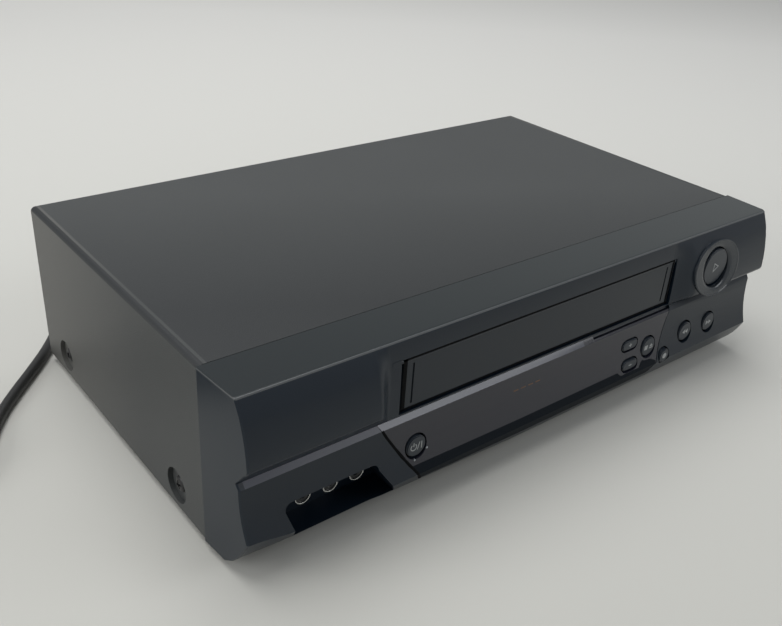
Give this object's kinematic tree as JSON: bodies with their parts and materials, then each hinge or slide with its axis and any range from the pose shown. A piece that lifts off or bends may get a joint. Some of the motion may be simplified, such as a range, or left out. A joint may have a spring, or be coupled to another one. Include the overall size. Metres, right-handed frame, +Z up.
{
  "type": "video cassette recorder",
  "caption": "Front-loading video cassette recorder: folded steel cover, bowed plastic fascia with a flap, buttons and front sockets, tape deck with carriage inside, and a mains lead.",
  "frame": {"origin": "on the floor under the middle of the recorder's casing, between the tip of its bowed fascia and the tip of its aerial sockets", "axes": "+Z up, the fascia faces -Y, +X to the right as seen from the front"},
  "size_m": [0.5198, 0.2762, 0.094],
  "materials": {
    "cover_paint": "satin, fine texture",
    "bezel_plastic": "satin",
    "door_plastic": "satin",
    "window_plastic": "gloss, smoked",
    "button_plastic": "satin",
    "zinc_steel": "satin",
    "bright_metal": "machined",
    "black_steel": "satin",
    "circuit_board": "satin",
    "display_glass": "gloss",
    "white_plastic": "satin",
    "grey_plastic": "satin",
    "black_rubber": "matte",
    "black_plastic": "satin",
    "sintered_bronze": "matte"
  },
  "bodies": {
    "recorder": {"front_bezel": "bezel_plastic", "display_window": "window_plastic", "top_cover": "cover_paint", "cover_screw_left_front": "black_steel", "cover_screw_left_rear": "black_steel", "cover_screw_right_front": "black_steel", "cover_screw_right_rear": "black_steel", "bottom_chassis": "zinc_steel", "foot_front_left": "black_rubber", "foot_front_right": "black_rubber", "foot_rear_left": "black_rubber", "foot_rear_right": "black_rubber", "rear_panel": "black_steel", "cord_bushing": "black_rubber", "tuner_module": "zinc_steel", "rear_jack_block": "black_plastic", "video_jack": "bright_metal", "audio_left_jack": "bright_metal", "audio_right_jack": "bright_metal", "front_jack_board": "circuit_board", "key_board": "circuit_board", "display_tube": "display_glass", "main_board": "circuit_board", "power_supply_board": "circuit_board", "mechanism_deck": "zinc_steel", "lower_drum": "bright_metal", "capstan_bearing": "sintered_bronze", "erase_head": "bright_metal", "audio_control_head": "bright_metal", "loading_motor": "zinc_steel", "carriage_frame": "zinc_steel", "power_cord": "black_rubber", "power_cord_coil": "black_rubber", "power_plug": "black_plastic", "capstan_belt": "black_rubber"},
    "cassette_door": {"cassette_door": "door_plastic"},
    "carriage_slider": {"carriage_slider": "zinc_steel"},
    "cassette_holder": {"cassette_holder": "zinc_steel"},
    "upper_drum": {"upper_drum": "bright_metal", "drum_motor_rotor": "zinc_steel"},
    "supply_reel_table": {"supply_reel_table": "white_plastic"},
    "takeup_reel_table": {"takeup_reel_table": "white_plastic"},
    "capstan_rotor": {"capstan_rotor": "zinc_steel"},
    "clutch_pulley": {"clutch_pulley": "white_plastic"},
    "idler_arm": {"idler_arm": "zinc_steel"},
    "idler_wheel": {"idler_wheel": "black_rubber"},
    "supply_guide_arm": {"supply_guide_arm": "grey_plastic"},
    "takeup_guide_arm": {"takeup_guide_arm": "grey_plastic"},
    "pinch_arm": {"pinch_arm": "zinc_steel"},
    "pinch_roller": {"pinch_roller": "black_rubber"},
    "tension_arm": {"tension_arm": "zinc_steel"},
    "cam_gear": {"cam_gear": "white_plastic"},
    "play_button": {"play_button": "button_plastic"},
    "power_button": {"power_button": "button_plastic"},
    "stop_eject_button": {"stop_eject_button": "button_plastic"},
    "record_button": {"record_button": "button_plastic"},
    "rewind_button": {"rewind_button": "button_plastic"},
    "fast_forward_button": {"fast_forward_button": "button_plastic"},
    "channel_up_button": {"channel_up_button": "button_plastic"},
    "channel_down_button": {"channel_down_button": "button_plastic"}
  },
  "joints": [
    {"name": "play_press", "type": "slide", "parent": "recorder", "child": "play_button", "axis": [0, 1, 0], "range_m": [0, 0.0012], "stiffness_N_per_m": 400, "springref_m": -0.001},
    {"name": "power_press", "type": "slide", "parent": "recorder", "child": "power_button", "axis": [0, 1, 0], "range_m": [0, 0.0012], "stiffness_N_per_m": 250, "springref_m": -0.001},
    {"name": "stop_eject_press", "type": "slide", "parent": "recorder", "child": "stop_eject_button", "axis": [0, 1, 0], "range_m": [0, 0.0012], "stiffness_N_per_m": 250, "springref_m": -0.001},
    {"name": "record_press", "type": "slide", "parent": "recorder", "child": "record_button", "axis": [0, 1, 0], "range_m": [0, 0.0012], "stiffness_N_per_m": 250, "springref_m": -0.001},
    {"name": "rewind_press", "type": "slide", "parent": "recorder", "child": "rewind_button", "axis": [0, 1, 0], "range_m": [0, 0.0012], "stiffness_N_per_m": 250, "springref_m": -0.001},
    {"name": "fast_forward_press", "type": "slide", "parent": "recorder", "child": "fast_forward_button", "axis": [0, 1, 0], "range_m": [0, 0.0012], "stiffness_N_per_m": 250, "springref_m": -0.001},
    {"name": "channel_up_press", "type": "slide", "parent": "recorder", "child": "channel_up_button", "axis": [0, 1, 0], "range_m": [0, 0.0012], "stiffness_N_per_m": 250, "springref_m": -0.001},
    {"name": "channel_down_press", "type": "slide", "parent": "recorder", "child": "channel_down_button", "axis": [0, 1, 0], "range_m": [0, 0.0012], "stiffness_N_per_m": 250, "springref_m": -0.001},
    {"name": "door_hinge", "type": "hinge", "parent": "recorder", "child": "cassette_door", "pos_m": [-0.002, -0.10695, 0.0822], "axis": [1, 0, 0], "range_deg": [0, 85], "stiffness_Nm_per_rad": 0.02, "springref_deg": -17.19},
    {"name": "carriage_slide", "type": "slide", "parent": "recorder", "child": "carriage_slider", "axis": [0, -1, 0], "range_m": [-0.08, 0]},
    {"name": "holder_drop", "type": "slide", "parent": "carriage_slider", "child": "cassette_holder", "axis": [0, 0, 1], "range_m": [-0.02, 0]},
    {"name": "drum_spin", "type": "hinge", "parent": "recorder", "child": "upper_drum", "pos_m": [-0.002, 0.06765, 0.0295], "axis": [0, -0.0872, 0.9962], "continuous": true},
    {"name": "supply_reel_spin", "type": "hinge", "parent": "recorder", "child": "supply_reel_table", "pos_m": [-0.048, -0.02235, 0.0255], "axis": [0, 0, 1], "continuous": true},
    {"name": "takeup_reel_spin", "type": "hinge", "parent": "recorder", "child": "takeup_reel_table", "pos_m": [0.044, -0.02235, 0.0255], "axis": [0, 0, 1], "continuous": true},
    {"name": "capstan_spin", "type": "hinge", "parent": "recorder", "child": "capstan_rotor", "pos_m": [0.058, 0.04565, 0.0255], "axis": [0, 0, 1], "continuous": true},
    {"name": "clutch_spin", "type": "hinge", "parent": "recorder", "child": "clutch_pulley", "pos_m": [-0.002, -0.03635, 0.0255], "axis": [0, 0, 1], "continuous": true},
    {"name": "idler_swing", "type": "hinge", "parent": "recorder", "child": "idler_arm", "pos_m": [-0.002, -0.03635, 0.0255], "axis": [0, 0, 1], "range_deg": [-39, 39]},
    {"name": "idler_wheel_spin", "type": "hinge", "parent": "idler_arm", "child": "idler_wheel", "pos_m": [-0.002, -0.00865, 0.0255], "axis": [0, 0, 1], "continuous": true},
    {"name": "supply_guide_swing", "type": "hinge", "parent": "recorder", "child": "supply_guide_arm", "pos_m": [-0.002, 0.05325, 0.0255], "axis": [0, 0, 1], "range_deg": [-60, 0]},
    {"name": "takeup_guide_swing", "type": "hinge", "parent": "recorder", "child": "takeup_guide_arm", "pos_m": [-0.002, 0.05325, 0.0255], "axis": [0, 0, 1], "range_deg": [0, 60]},
    {"name": "pinch_swing", "type": "hinge", "parent": "recorder", "child": "pinch_arm", "pos_m": [0.08, 0.06465, 0.0255], "axis": [0, 0, 1], "range_deg": [-25, 0]},
    {"name": "pinch_roller_spin", "type": "hinge", "parent": "pinch_arm", "child": "pinch_roller", "pos_m": [0.07018, 0.04563, 0.0255], "axis": [0, 0, 1], "continuous": true},
    {"name": "tension_swing", "type": "hinge", "parent": "recorder", "child": "tension_arm", "pos_m": [-0.08, 0.00765, 0.0255], "axis": [0, 0, 1], "range_deg": [-8, 12]},
    {"name": "cam_turn", "type": "hinge", "parent": "recorder", "child": "cam_gear", "pos_m": [-0.07, 0.05165, 0.0255], "axis": [0, 0, 1], "range_deg": [0, 330]}
  ],
  "couplings": [
    {"joint": "clutch_spin", "follows": "capstan_spin", "ratio": 0.64286},
    {"joint": "supply_guide_swing", "follows": "cam_turn", "ratio": -0.18182},
    {"joint": "takeup_guide_swing", "follows": "cam_turn", "ratio": 0.18182},
    {"joint": "pinch_swing", "follows": "cam_turn", "ratio": -0.075758}
  ]
}
